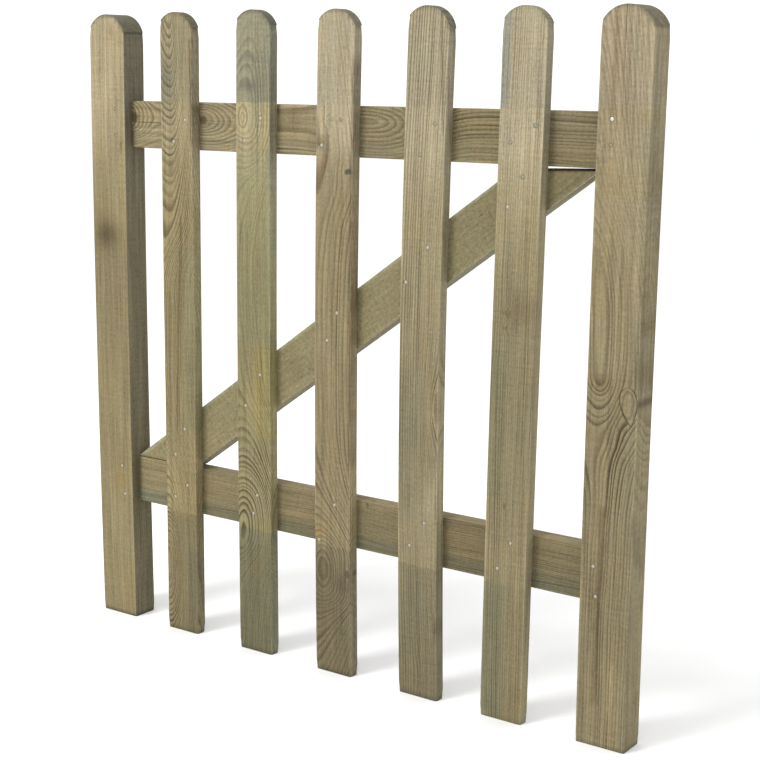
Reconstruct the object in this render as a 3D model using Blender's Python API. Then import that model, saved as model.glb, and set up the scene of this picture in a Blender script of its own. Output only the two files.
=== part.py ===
"""A garden gate leaf in treated pine.

Two round-topped stiles and two tenoned rails make the frame.  Five round-topped pickets are nailed to
the front of the rails, and a diagonal brace lies between the rails, behind the pickets.  The nails that
hold the pickets and pin the tenons are modelled one by one.

Frame: the origin is at the middle of the gate's foot.  +X runs from the hinge stile to the latch stile,
the pickets face -Y, and +Z is up.  Lengths are in metres.
"""

import math
from collections import namedtuple

import bmesh
import bpy

MM = 0.001

# Timber sections.
STILE_WIDTH = 0.074
STILE_DEPTH = 0.045
PICKET_THICKNESS = 0.018
RAIL_DEPTH = 0.028
BRACE_WIDTH = 0.0745

# Round tops.
STILE_CROWN_RADIUS = 0.0405
PICKET_CROWN_RADIUS = 0.0375
CROWN_STEPS = 14

# Rounding of the long edges.
STILE_ARRIS = 0.0020
PICKET_ARRIS = 0.0030
RAIL_ARRIS = 0.0015
ARRIS_SEGMENTS = 2

# Touching pieces keep this gap, and the brace keeps a joiner's gap to the rails.
SEAT_GAP = 0.0003
BRACE_FOOT_GAP = 0.0012
BRACE_HEAD_GAP = 0.0022
BRACE_HEAD_TILT = math.radians(1.9)

# Depths, from the front of the pickets to the flush back of the stiles, rails and brace.
GATE_DEPTH = PICKET_THICKNESS + SEAT_GAP + RAIL_DEPTH
BACK_Y = GATE_DEPTH / 2
PICKET_FRONT_Y = -GATE_DEPTH / 2
PICKET_BACK_Y = PICKET_FRONT_Y + PICKET_THICKNESS
RAIL_FRONT_Y = BACK_Y - RAIL_DEPTH
STILE_FRONT_Y = BACK_Y - STILE_DEPTH

# Tenons, which are blind: the stiles' outer edges stay whole.
TENON_LENGTH = 0.045
TENON_THICKNESS = 0.014
TENON_SHOULDER = 0.004
MORTISE_END_GAP = 0.001
TENON_FRONT_Y = RAIL_FRONT_Y + (RAIL_DEPTH - TENON_THICKNESS) / 2
TENON_BACK_Y = TENON_FRONT_Y + TENON_THICKNESS

# Nails: flat heads, driven just below the wood.
NAIL_LENGTH = 0.040
NAIL_HEAD_RADIUS = 0.0026
NAIL_HEAD_THICKNESS = 0.0010
NAIL_SHANK_RADIUS = 0.00125
NAIL_POINT_LENGTH = 0.004
NAIL_SINK = 0.0004
NAIL_SIDES = 12
CUTTER_OVERSHOOT = 0.002

# The boards are gently bowed and leaning, as treated pine is.  A line gives the X of a board's
# middle at its foot, at half height and at its head, and the long edges follow it.  The round tops
# were cut a little off centre: each arc's centre is crown_shift to the left of its board's middle.
Line = namedtuple("Line", "foot middle head")
Board = namedtuple("Board", "name width height crown_shift line")
Rail = namedtuple("Rail", "name bottom top")
LINE_HEIGHT = 1.000
EDGE_STEPS = 10

HINGE_STILE = Board("hinge_stile", STILE_WIDTH, 1.0010, 0.0020, Line(-0.4545, -0.4580, -0.4550))
LATCH_STILE = Board("latch_stile", STILE_WIDTH, 1.0005, 0.0015, Line(0.4580, 0.4550, 0.4560))
PICKETS = (
    Board("picket_1", 0.0640, 1.0022, 0.0032, Line(-0.3090, -0.3085, -0.3070)),
    Board("picket_2", 0.0645, 1.0035, 0.0025, Line(-0.1530, -0.1555, -0.1530)),
    Board("picket_3", 0.0655, 1.0020, 0.0023, Line(0.0020, -0.0035, 0.0010)),
    Board("picket_4", 0.0670, 1.0040, 0.0037, Line(0.1580, 0.1505, 0.1585)),
    Board("picket_5", 0.0670, 1.0013, 0.0017, Line(0.3000, 0.3030, 0.3090)),
)
UPPER_RAIL = Rail("upper_rail", 0.7920, 0.8655)
LOWER_RAIL = Rail("lower_rail", 0.2020, 0.2790)

# Hand-driven nails, two to a joint: (across, up) from the middle of the joint, in millimetres.
UPPER_RAIL_NAILS = (
    ((17, 10), (-8, -24)),
    ((14, 16), (-17, -18)),
    ((11, 17), (-24, -20)),
    ((16, 15), (-8, -28)),
    ((21, 17), (-16, -6)),
)
BRACE_NAILS = (
    ((8, 31), (-13, -14)),
    ((12, 29), (-17, -23)),
    ((7, 31), (-11, -12)),
    ((10, 28), (-26, -24)),
    ((5, 22), (-17, -19)),
)
LOWER_RAIL_NAILS = (
    ((12, 11), (-14, -12)),
    ((5, 19), (-3, -12)),
    ((3, 29), (-26, -31)),
    ((11, 29), (-14, -9)),
    ((7, 26), (-13, -15)),
)
# Nails through the stiles that pin the tenons: (in from the stile's inner edge, up), in millimetres.
HINGE_UPPER_PINS = ((22, 24), (20, -18))
HINGE_LOWER_PINS = ((24, 21), (19, -27))
LATCH_UPPER_PINS = ((20, 28), (20, -5))
LATCH_LOWER_PINS = ((18, 17), (23, -25))


def centre_x(line, z):
    """X of a board's middle at height z, on the parabola through the three points of its line."""
    t = 2 * z / LINE_HEIGHT - 1
    lean = (line.head - line.foot) / 2
    ends = (line.head + line.foot) / 2
    return ends + lean * t + (line.middle - ends) * (1 - t * t)


def inner_edge_x(stile, z):
    """X of the stile's edge that faces the gate's middle."""
    side = 1 if stile is HINGE_STILE else -1
    return centre_x(stile.line, z) + side * stile.width / 2


def material(name, colour, roughness, metallic=0.0):
    mat = bpy.data.materials.new(name)
    mat.use_nodes = True
    shader = mat.node_tree.nodes["Principled BSDF"]
    shader.inputs["Base Color"].default_value = (*colour, 1.0)
    shader.inputs["Roughness"].default_value = roughness
    shader.inputs["Metallic"].default_value = metallic
    return mat


def add_object(name, bm, mat=None):
    """Turn a bmesh into an object of the gate, with its faces pointing out."""
    bmesh.ops.recalc_face_normals(bm, faces=bm.faces)
    mesh = bpy.data.meshes.new(name)
    bm.to_mesh(mesh)
    bm.free()
    mesh.shade_smooth()
    mesh.set_sharp_from_angle(angle=math.radians(30))
    obj = bpy.data.objects.new(name, mesh)
    bpy.context.scene.collection.objects.link(obj)
    if mat:
        mesh.materials.append(mat)
    return obj


def cutter(name, bm):
    obj = add_object(name, bm)
    obj.hide_render = True
    obj.display_type = "WIRE"
    return obj


def cut(obj, tool):
    modifier = obj.modifiers.new(tool.name, "BOOLEAN")
    modifier.operation = "DIFFERENCE"
    modifier.solver = "EXACT"
    modifier.object = tool


def round_edges(bm, edges, radius):
    bmesh.ops.bevel(bm, geom=edges, offset=radius, segments=ARRIS_SEGMENTS, profile=0.5, affect="EDGES")


def add_prism(bm, outline, front_y, back_y):
    """Extrude an (x, z) outline from front_y to back_y, and return its side edges by level."""
    rings = [[bm.verts.new((x, y, z)) for x, z in outline] for y in (front_y, back_y)]
    for ring in rings:
        bm.faces.new(ring)
    count = len(outline)
    for i in range(count):
        j = (i + 1) % count
        bm.faces.new((rings[0][i], rings[0][j], rings[1][j], rings[1][i]))
    return rings


def ring_edges(bm, rings, keep):
    """Edges within each ring whose two ends both satisfy keep(vertex pair)."""
    edges = []
    for ring in rings:
        for a, b in zip(ring, ring[1:] + ring[:1]):
            if keep(a.co, b.co):
                edges.append(bm.edges.get((a, b)))
    return edges


def crowned_outline(board, radius):
    """Outline of a board with a round top: up the right edge, over the arc and down the left edge."""
    half = board.width / 2
    right_angle = math.asin((half + board.crown_shift) / radius)
    left_angle = math.asin((half - board.crown_shift) / radius)
    arc_z = board.height - radius
    right_z = arc_z + radius * math.cos(right_angle)
    left_z = arc_z + radius * math.cos(left_angle)
    arc_x = centre_x(board.line, (right_z + left_z) / 2) - board.crown_shift

    right = []
    left = []
    for i in range(EDGE_STEPS):
        z = right_z * i / EDGE_STEPS
        right.append((centre_x(board.line, z) + half, z))
        left.append((centre_x(board.line, z) - half, z))
    arc = []
    for i in range(CROWN_STEPS + 1):
        angle = right_angle - (right_angle + left_angle) * i / CROWN_STEPS
        arc.append((arc_x + radius * math.sin(angle), arc_z + radius * math.cos(angle)))
    return right + arc + left[::-1]


def make_board(board, crown_radius, front_y, back_y, arris, mat):
    """An upright: a crowned board whose long edges and top are rounded, with a square-cut foot."""
    bm = bmesh.new()
    rings = add_prism(bm, crowned_outline(board, crown_radius), front_y, back_y)
    round_edges(bm, ring_edges(bm, rings, lambda a, b: a.z + b.z > 0), arris)
    return add_object(board.name, bm, mat)


def make_rail(rail, mat):
    """A rail between the stiles with a thinner tenon at each end, as sections joined end to end."""
    tenon = (TENON_FRONT_Y, TENON_BACK_Y, rail.bottom + TENON_SHOULDER, rail.top - TENON_SHOULDER)
    body = (RAIL_FRONT_Y, BACK_Y, rail.bottom, rail.top)
    # Each station is a section and how far it lies into the stile, from the stile's inner edge.
    stations = (
        (HINGE_STILE, tenon, TENON_LENGTH),
        (HINGE_STILE, tenon, -SEAT_GAP),
        (HINGE_STILE, body, -SEAT_GAP),
        (LATCH_STILE, body, -SEAT_GAP),
        (LATCH_STILE, tenon, -SEAT_GAP),
        (LATCH_STILE, tenon, TENON_LENGTH),
    )
    bm = bmesh.new()
    rings = []
    for stile, (front, back, low, high), depth in stations:
        outward = -1 if stile is HINGE_STILE else 1
        corners = ((front, low), (back, low), (back, high), (front, high))
        ring = [bm.verts.new((inner_edge_x(stile, z) + outward * depth, y, z)) for y, z in corners]
        rings.append(ring)
    for near, far in zip(rings, rings[1:]):
        for i in range(4):
            j = (i + 1) % 4
            bm.faces.new((near[i], near[j], far[j], far[i]))
    bm.faces.new(rings[0])
    bm.faces.new(rings[-1])
    body_start, body_end = rings[2], rings[3]
    long_edges = [bm.edges.get(pair) for pair in zip(body_start, body_end)]
    round_edges(bm, long_edges, RAIL_ARRIS)
    return add_object(rail.name, bm, mat)


def brace_corners():
    """The brace's corners: lower tip, lower heel, upper tip and upper heel, as (x, z).

    The tips lie against the stiles.  The width and the two tips settle the slope.
    """
    low_z = LOWER_RAIL.top + BRACE_FOOT_GAP
    high_z = UPPER_RAIL.bottom - BRACE_HEAD_GAP
    low_x = inner_edge_x(HINGE_STILE, low_z) + SEAT_GAP
    high_x = inner_edge_x(LATCH_STILE, high_z) - SEAT_GAP
    run = high_x - low_x
    rise = high_z - low_z
    slope = math.atan2(rise, run) + math.asin(BRACE_WIDTH / math.hypot(run, rise))

    # The lower cut is level and the upper cut falls a little towards the hinge stile.
    foot_length = BRACE_WIDTH / math.sin(slope)
    head_length = BRACE_WIDTH / math.sin(slope - BRACE_HEAD_TILT)
    lower_heel = (low_x + foot_length, low_z)
    upper_heel = (
        high_x - head_length * math.cos(BRACE_HEAD_TILT),
        high_z - head_length * math.sin(BRACE_HEAD_TILT),
    )
    return (low_x, low_z), lower_heel, (high_x, high_z), upper_heel


def brace_middle_z(x):
    """Height of the brace's centre line at x."""
    lower_tip, lower_heel, upper_tip, upper_heel = brace_corners()
    start_x = (lower_tip[0] + lower_heel[0]) / 2
    slope = (upper_tip[1] - lower_heel[1]) / (upper_tip[0] - lower_heel[0])
    return lower_tip[1] + (x - start_x) * slope


def make_brace(mat):
    bm = bmesh.new()
    rings = add_prism(bm, brace_corners(), RAIL_FRONT_Y, BACK_Y)
    round_edges(bm, ring_edges(bm, rings, lambda a, b: abs(a.z - b.z) > BRACE_WIDTH), RAIL_ARRIS)
    return add_object("brace", bm, mat)


def add_turned(bm, x, z, profile):
    """Turn a profile of (y, radius) points, front to back, about the Y direction through (x, z).

    A radius of zero closes the shape in a point.
    """
    rings = []
    for y, radius in profile:
        if radius == 0:
            rings.append([bm.verts.new((x, y, z))])
            continue
        ring = []
        for i in range(NAIL_SIDES):
            angle = 2 * math.pi * i / NAIL_SIDES
            ring.append(bm.verts.new((x + radius * math.cos(angle), y, z + radius * math.sin(angle))))
        rings.append(ring)
    for near, far in zip(rings, rings[1:]):
        for i in range(NAIL_SIDES):
            j = (i + 1) % NAIL_SIDES
            corners = [near[i % len(near)], near[j % len(near)], far[j % len(far)], far[i % len(far)]]
            bm.faces.new(list(dict.fromkeys(corners)))


def nail_profile(front_y):
    head_y = front_y + NAIL_SINK
    neck_y = head_y + NAIL_HEAD_THICKNESS
    tip_y = head_y + NAIL_LENGTH
    return (
        (head_y, 0),
        (head_y, NAIL_HEAD_RADIUS),
        (neck_y, NAIL_HEAD_RADIUS),
        (neck_y, NAIL_SHANK_RADIUS),
        (tip_y - NAIL_POINT_LENGTH, NAIL_SHANK_RADIUS),
        (tip_y, 0),
    )


def nail_hole_profile(front_y):
    """The room a nail takes in the wood: the nail with a gap all round, open at the front."""
    head_y = front_y + NAIL_SINK
    neck_y = head_y + NAIL_HEAD_THICKNESS + SEAT_GAP
    tip_y = head_y + NAIL_LENGTH + SEAT_GAP
    return (
        (front_y - CUTTER_OVERSHOOT, 0),
        (front_y - CUTTER_OVERSHOOT, NAIL_HEAD_RADIUS + SEAT_GAP),
        (neck_y, NAIL_HEAD_RADIUS + SEAT_GAP),
        (neck_y, NAIL_SHANK_RADIUS + SEAT_GAP),
        (tip_y, NAIL_SHANK_RADIUS + SEAT_GAP),
        (tip_y, 0),
    )


def nail_places():
    """Every nail, as (name, x, z, y of the wood's face that its head lies in)."""
    places = []
    for number, picket in enumerate(PICKETS):
        joints = (
            ("upper_rail", (UPPER_RAIL.bottom + UPPER_RAIL.top) / 2, UPPER_RAIL_NAILS),
            ("brace", brace_middle_z(picket.line.middle), BRACE_NAILS),
            ("lower_rail", (LOWER_RAIL.bottom + LOWER_RAIL.top) / 2, LOWER_RAIL_NAILS),
        )
        for joint, joint_z, nails in joints:
            joint_x = centre_x(picket.line, joint_z)
            if joint == "brace":
                joint_z = brace_middle_z(joint_x)
            for side, (across, up) in zip("ab", nails[number]):
                name = f"nail_{picket.name}_{joint}_{side}"
                places.append((name, joint_x + across * MM, joint_z + up * MM, PICKET_FRONT_Y))

    pins = (
        (HINGE_STILE, UPPER_RAIL, HINGE_UPPER_PINS),
        (HINGE_STILE, LOWER_RAIL, HINGE_LOWER_PINS),
        (LATCH_STILE, UPPER_RAIL, LATCH_UPPER_PINS),
        (LATCH_STILE, LOWER_RAIL, LATCH_LOWER_PINS),
    )
    for stile, rail, nails in pins:
        outward = -1 if stile is HINGE_STILE else 1
        middle_z = (rail.bottom + rail.top) / 2
        for side, (inset, up) in zip("ab", nails):
            z = middle_z + up * MM
            x = inner_edge_x(stile, z) + outward * inset * MM
            places.append((f"nail_{stile.name}_{rail.name}_{side}", x, z, STILE_FRONT_Y))
    return places


def mortise_cutter():
    """Blind pockets for the four tenons, a gap larger than the tenons all round."""
    bm = bmesh.new()
    for stile, outward in ((HINGE_STILE, -1), (LATCH_STILE, 1)):
        for rail in (UPPER_RAIL, LOWER_RAIL):
            low = rail.bottom + TENON_SHOULDER - SEAT_GAP
            high = rail.top - TENON_SHOULDER + SEAT_GAP
            outline = []
            for z, depth in (
                (low, -CUTTER_OVERSHOOT),
                (low, TENON_LENGTH + MORTISE_END_GAP),
                (high, TENON_LENGTH + MORTISE_END_GAP),
                (high, -CUTTER_OVERSHOOT),
            ):
                outline.append((inner_edge_x(stile, z) + outward * depth, z))
            add_prism(bm, outline, TENON_FRONT_Y - SEAT_GAP, TENON_BACK_Y + SEAT_GAP)
    return cutter("mortise_cutter", bm)


def nail_hole_cutter(places):
    bm = bmesh.new()
    for _, x, z, front_y in places:
        add_turned(bm, x, z, nail_hole_profile(front_y))
    return cutter("nail_hole_cutter", bm)


def make_nail(name, x, z, front_y, mat):
    """A nail with its origin in the middle of its head."""
    bm = bmesh.new()
    add_turned(bm, 0, 0, [(y - front_y, radius) for y, radius in nail_profile(front_y)])
    nail = add_object(name, bm, mat)
    nail.location = (x, front_y, z)
    return nail


def clear_scene():
    for obj in list(bpy.data.objects):
        bpy.data.objects.remove(obj, do_unlink=True)


def build_gate():
    clear_scene()
    stile_wood = material("stile_pine", (0.40, 0.33, 0.20), 0.78)
    picket_wood = material("picket_pine", (0.41, 0.34, 0.20), 0.78)
    rail_wood = material("rail_pine", (0.33, 0.27, 0.16), 0.82)
    brace_wood = material("brace_pine", (0.29, 0.25, 0.14), 0.88)
    nail_steel = material("galvanised_steel", (0.55, 0.55, 0.53), 0.45, 0.85)

    stiles = []
    for stile in (HINGE_STILE, LATCH_STILE):
        stiles.append(
            make_board(stile, STILE_CROWN_RADIUS, STILE_FRONT_Y, BACK_Y, STILE_ARRIS, stile_wood)
        )
    boards = list(stiles)
    for picket in PICKETS:
        boards.append(
            make_board(
                picket, PICKET_CROWN_RADIUS, PICKET_FRONT_Y, PICKET_BACK_Y, PICKET_ARRIS, picket_wood
            )
        )
    boards.append(make_rail(UPPER_RAIL, rail_wood))
    boards.append(make_rail(LOWER_RAIL, rail_wood))
    boards.append(make_brace(brace_wood))

    places = nail_places()
    mortises = mortise_cutter()
    nail_holes = nail_hole_cutter(places)
    for stile in stiles:
        cut(stile, mortises)
    for board in boards:
        cut(board, nail_holes)
    nails = [make_nail(*place, nail_steel) for place in places]

    leaf = bpy.data.objects.new("gate_leaf", None)
    bpy.context.scene.collection.objects.link(leaf)
    for piece in boards + nails:
        piece.parent = leaf


build_gate()
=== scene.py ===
"""The looks of a garden gate leaf: treated pine boards, each with its own grain, and galvanised nails.

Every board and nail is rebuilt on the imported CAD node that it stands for, at the same size and place.
Lengths are in metres, in the gate's frame: +X to the latch stile, -Y to the front, +Z up.  The wood's
shaders work in millimetres, in coordinates that follow each board: across it, through it and along it.
"""

import math
from collections import namedtuple
from dataclasses import dataclass

import bmesh
import bpy
import numpy as np
from mathutils import Matrix, Vector, geometry, noise


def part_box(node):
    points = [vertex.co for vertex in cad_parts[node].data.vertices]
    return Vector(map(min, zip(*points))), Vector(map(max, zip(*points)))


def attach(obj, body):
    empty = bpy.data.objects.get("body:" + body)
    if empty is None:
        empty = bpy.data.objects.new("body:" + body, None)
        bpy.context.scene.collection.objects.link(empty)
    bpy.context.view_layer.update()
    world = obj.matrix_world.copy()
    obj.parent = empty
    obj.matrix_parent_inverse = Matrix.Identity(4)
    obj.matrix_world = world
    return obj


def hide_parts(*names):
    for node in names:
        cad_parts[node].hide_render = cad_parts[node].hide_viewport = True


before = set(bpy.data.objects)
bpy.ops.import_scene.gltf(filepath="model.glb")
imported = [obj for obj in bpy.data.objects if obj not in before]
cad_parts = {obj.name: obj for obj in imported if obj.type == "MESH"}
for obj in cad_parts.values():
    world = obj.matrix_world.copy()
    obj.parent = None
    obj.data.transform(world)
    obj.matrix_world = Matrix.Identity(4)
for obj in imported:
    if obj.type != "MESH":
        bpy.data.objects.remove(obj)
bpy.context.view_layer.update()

MM = 0.001
BODY = "root"
UP = Vector((0, 0, 1))
SIDEWAYS = Vector((1, 0, 0))

# The camera stands to the right of the gate and looks left and a little down.
CAMERA_PLACE = Vector((1.3600, -1.8708, 0.9177))
CAMERA_YAW = math.radians(36.26)
CAMERA_PITCH = math.radians(11.795)
CAMERA_ROLL = math.radians(0.325)
SENSOR_WIDTH = 36.0
LENS = 74.2
SHIFT_X = 0.0571
SHIFT_Y = 0.0211

# The studio: a white surround, and one large soft light in front, above and to the left.
SURROUND_STRENGTH = 1.2
FLOOR_SIZE = 30.0
FLOOR_GREY = 0.85
KEY_PLACE = Vector((-1.9, -4.6, 4.0))
KEY_TARGET = Vector((0, 0, 0.5))
KEY_SIZE = 2.4
KEY_POWER = 255.0

# Mesh detail: the steps in a rounded edge and in a crown, and the spacing of the cuts across a board.
ARRIS_SEGMENTS = 4
CROWN_STEPS = 48
SLICE = 8.0 * MM
SLICE_ROUGH = 4.0 * MM
SHARP_ANGLE = math.radians(35)
SAME_PLACE = 1e-6
SAME_WIDTH = 0.2 * MM

# The drying crack at the top of the latch stile.
CRACK_ACROSS = -2.5 * MM
CRACK_FOOT = 0.955
CRACK_WIDTH = 0.8 * MM
CRACK_DEPTH = 4.0 * MM

# The brace's upper end was sawn a little out of square: this much lower in front and higher behind.
BRACE_HEAD_SKEW = 1.2 * MM
# Its long edges stay straight until this close to the tip.
BRACE_TIP = 3.0 * MM

# Rounding of the long edges, and how deep the surface is worn.
STILE_ARRIS = 0.0024
PICKET_ARRIS = 0.0034
RAIL_ARRIS = 0.0014
BRACE_ARRIS = 0.0008
PLANED_WEAR = 0.15 * MM
SAWN_WEAR = 0.35 * MM

# Wear has broad and fine lumps, at so many per metre.  Each board's is taken this far on from the last's.
BROAD_WEAR = 22
FINE_WEAR = 140
WEAR_STEP = Vector((7.3, 3.1, 5.7))

# Nails, and the dishes that they are driven into.  A head's profile is a list of (millimetres back from its
# front, share of its radius).
NAIL_SIDES = 32
HEAD_PROFILE = ((0.0, 0.0), (0.02, 0.5), (0.12, 0.8), (0.35, 0.96), (0.6, 1.0), (0.9, 0.97), (1.0, 0.9))
HEAD_THICKNESS = 1.0 * MM
SHANK_SHARE = 0.48
POINT_LENGTH = 4.0 * MM
DISH_RADIUS = 4.2 * MM
DISH_DEPTH = 0.7 * MM

# Clearance between two pieces, how far a cutting tool stands out of the wood, and a tenon's plain end.
GAP = 0.3 * MM
OVERSHOOT = 2 * MM
TENON_END = 20 * MM


# ---------------- what the frame says

def points(node):
    """All the vertices of a CAD node."""
    return np.array([vertex.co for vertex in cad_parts[node].data.vertices])


class Upright:
    """The outline of a stile or picket, read from its CAD node."""

    def __init__(self, node):
        co = points(node)
        levels = self.edge_levels(co)
        heights = [level[0] for level in levels]
        middles = [(level[1] + level[2]) / 2 for level in levels]
        self.front = co[:, 1].min()
        self.back = co[:, 1].max()
        self.height = co[:, 2].max()
        self.width = float(np.median([level[2] - level[1] for level in levels]))
        self.bow = np.polyfit(heights, middles, 2)
        self.read_crown(co[co[:, 2] > max(heights) + MM])

    @staticmethod
    def edge_levels(co):
        """(z, lowest x, highest x) at each height where the board has its full width."""
        heights = np.round(co[:, 2], 4)
        levels = []
        for z in np.unique(heights):
            row = co[heights == z]
            levels.append((z, row[:, 0].min(), row[:, 0].max()))
        full = max(high - low for _, low, high in levels) - SAME_WIDTH
        return [level for level in levels if level[2] - level[1] > full]

    def read_crown(self, co):
        """Find the arc that the outermost points of the crown lie on, and its two ends."""
        outermost = geometry.convex_hull_2d([(x, z) for x, _, z in co])
        corners = co[outermost][:, [0, 2]]
        left = corners[corners[:, 0].argmin()]
        right = corners[corners[:, 0].argmax()]
        chord = np.interp(corners[:, 0], (left[0], right[0]), (left[1], right[1]))
        x, z = corners[corners[:, 1] >= chord - SAME_PLACE].T
        known = np.column_stack((2 * x, 2 * z, np.ones(len(x))))
        self.crown_x, middle_z, rest = np.linalg.lstsq(known, x * x + z * z, rcond=None)[0]
        self.crown_radius = math.sqrt(rest + self.crown_x ** 2 + middle_z ** 2)
        self.crown_z = self.height - self.crown_radius
        self.shoulder = {1: right[1], -1: left[1]}

    def middle(self, z):
        return float(np.polyval(self.bow, z))

    def edge(self, z, side):
        return self.middle(z) + side * self.width / 2

    def board_place(self, co):
        """Across from the bowed middle, through from the front and up from the foot, in millimetres."""
        return (co.x - self.middle(co.z)) / MM, (co.y - self.front) / MM, co.z / MM

    def end_grain(self, co):
        """1 on the foot and the crown, and 0 on the faces."""
        from_crown = self.crown_radius - math.hypot(co.x - self.crown_x, co.z - self.crown_z)
        return fade(min(co.z, from_crown if co.z > self.crown_z else 1.0))


def fade(distance):
    """1 at the surface, falling to 0 within a millimetre."""
    return min(max(1 - distance / MM, 0), 1)


class Bar:
    """A straight board from one (x, z) point to another: a rail's body, or the brace.

    cuts are its two end cuts, each as (a point on it, the direction from it into the wood).
    """

    def __init__(self, start, end, width, front, back, cuts=None):
        self.start = Vector((start[0], 0, start[1]))
        self.along = (Vector((end[0], 0, end[1])) - self.start).normalized()
        self.across = Vector((-self.along.z, 0, self.along.x))
        self.length = (Vector((end[0], 0, end[1])) - self.start).length
        self.width = width
        self.front = front
        self.back = back
        self.cuts = cuts or ((self.start, self.along), (self.start + self.along * self.length, -self.along))

    def board_place(self, co):
        offset = co - self.start
        return offset.dot(self.across) / MM, (co.y - self.front) / MM, offset.dot(self.along) / MM

    def end_grain(self, co):
        return fade(min((co - point).dot(inward) for point, inward in self.cuts))


# ---------------- mesh tools

def add_prism(bm, outline, front, back, back_outline):
    """Join an (x, z) outline in front to the one behind, and return their two rings of vertices."""
    rings = []
    for y, corners in ((front, outline), (back, back_outline)):
        rings.append([bm.verts.new((x, y, z)) for x, z in corners])
    for ring in rings:
        bm.faces.new(ring)
    near, far = rings
    for i in range(len(outline)):
        j = (i + 1) % len(outline)
        bm.faces.new((near[i], near[j], far[j], far[i]))
    return rings


def ring_edges(bm, rings, keep):
    edges = []
    for ring in rings:
        for a, b in zip(ring, ring[1:] + ring[:1]):
            if keep(a.co, b.co):
                edges.append(bm.edges.get((a, b)))
    return edges


def round_edges(bm, edges, radius):
    bmesh.ops.bevel(bm, geom=edges, offset=radius, segments=ARRIS_SEGMENTS, profile=0.5, affect="EDGES")
    bmesh.ops.remove_doubles(bm, verts=bm.verts, dist=SAME_PLACE)
    bmesh.ops.dissolve_degenerate(bm, dist=SAME_PLACE, edges=bm.edges)


def slice_solid(bm, direction, step):
    """Cut the faces along parallel planes, so that they have vertices to move."""
    reach = [vert.co.dot(direction) for vert in bm.verts]
    count = round((max(reach) - min(reach)) / step)
    for i in range(1, count):
        place = direction * (min(reach) + (max(reach) - min(reach)) * i / count)
        everything = bm.verts[:] + bm.edges[:] + bm.faces[:]
        bmesh.ops.bisect_plane(bm, geom=everything, plane_co=place, plane_no=direction, dist=SAME_PLACE)


def face_outward(bm):
    bmesh.ops.recalc_face_normals(bm, faces=bm.faces)
    if bm.calc_volume(signed=True) < 0:
        bmesh.ops.reverse_faces(bm, faces=bm.faces)


def wear(bm, depth, seed):
    """Push the surface in a little, unevenly, and never out."""
    face_outward(bm)
    bm.normal_update()
    offset = WEAR_STEP * seed
    moves = []
    for vert in bm.verts:
        broad = noise.noise(vert.co * BROAD_WEAR + offset)
        fine = noise.noise(vert.co * FINE_WEAR + offset)
        moves.append(-depth * max(0.5 + 0.5 * broad + 0.4 * fine, 0))
    for vert, move in zip(bm.verts, moves):
        vert.co += vert.normal * move


def add_turned(bm, x, z, profile):
    """Turn a profile of (y, radius) points about the Y direction through (x, z)."""
    rings = []
    for y, radius in profile:
        ring = []
        for i in range(NAIL_SIDES if radius > 0 else 1):
            angle = 2 * math.pi * i / NAIL_SIDES
            ring.append(bm.verts.new((x + radius * math.cos(angle), y, z + radius * math.sin(angle))))
        rings.append(ring)
    for near, far in zip(rings, rings[1:]):
        for i in range(NAIL_SIDES):
            j = (i + 1) % NAIL_SIDES
            corners = [near[i % len(near)], near[j % len(near)], far[j % len(far)], far[i % len(far)]]
            bm.faces.new(list(dict.fromkeys(corners)))


def to_object(name, bm):
    face_outward(bm)
    mesh = bpy.data.meshes.new(name)
    bm.to_mesh(mesh)
    bm.free()
    obj = bpy.data.objects.new(name, mesh)
    bpy.context.scene.collection.objects.link(obj)
    return obj


def combine(obj, operation, tool):
    """Join tool to obj, or cut it out of obj, for good."""
    modifier = obj.modifiers.new("combine", "BOOLEAN")
    modifier.operation = operation
    modifier.solver = "EXACT"
    modifier.object = tool
    graph = bpy.context.evaluated_depsgraph_get()
    mesh = bpy.data.meshes.new_from_object(obj.evaluated_get(graph))
    obj.modifiers.clear()
    obj.data = mesh


def finish_piece(obj, node, material):
    """obj stands for a CAD node, and rides on the gate."""
    obj.data.materials.clear()
    obj.data.materials.append(material)
    obj.data.shade_smooth()
    obj.data.set_sharp_from_angle(angle=SHARP_ANGLE)
    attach(obj, BODY)
    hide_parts(node)


def finish_board(obj, node, shape, material):
    """Store the wood's own coordinates on the mesh, and make it a piece."""
    vertices = obj.data.vertices
    place = obj.data.attributes.new("board", "FLOAT_VECTOR", "POINT")
    place.data.foreach_set("vector", np.array([shape.board_place(v.co) for v in vertices]).ravel())
    end = obj.data.attributes.new("end_grain", "FLOAT", "POINT")
    end.data.foreach_set("value", np.array([shape.end_grain(v.co) for v in vertices]))
    finish_piece(obj, node, material)


# ---------------- shader tools

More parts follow.
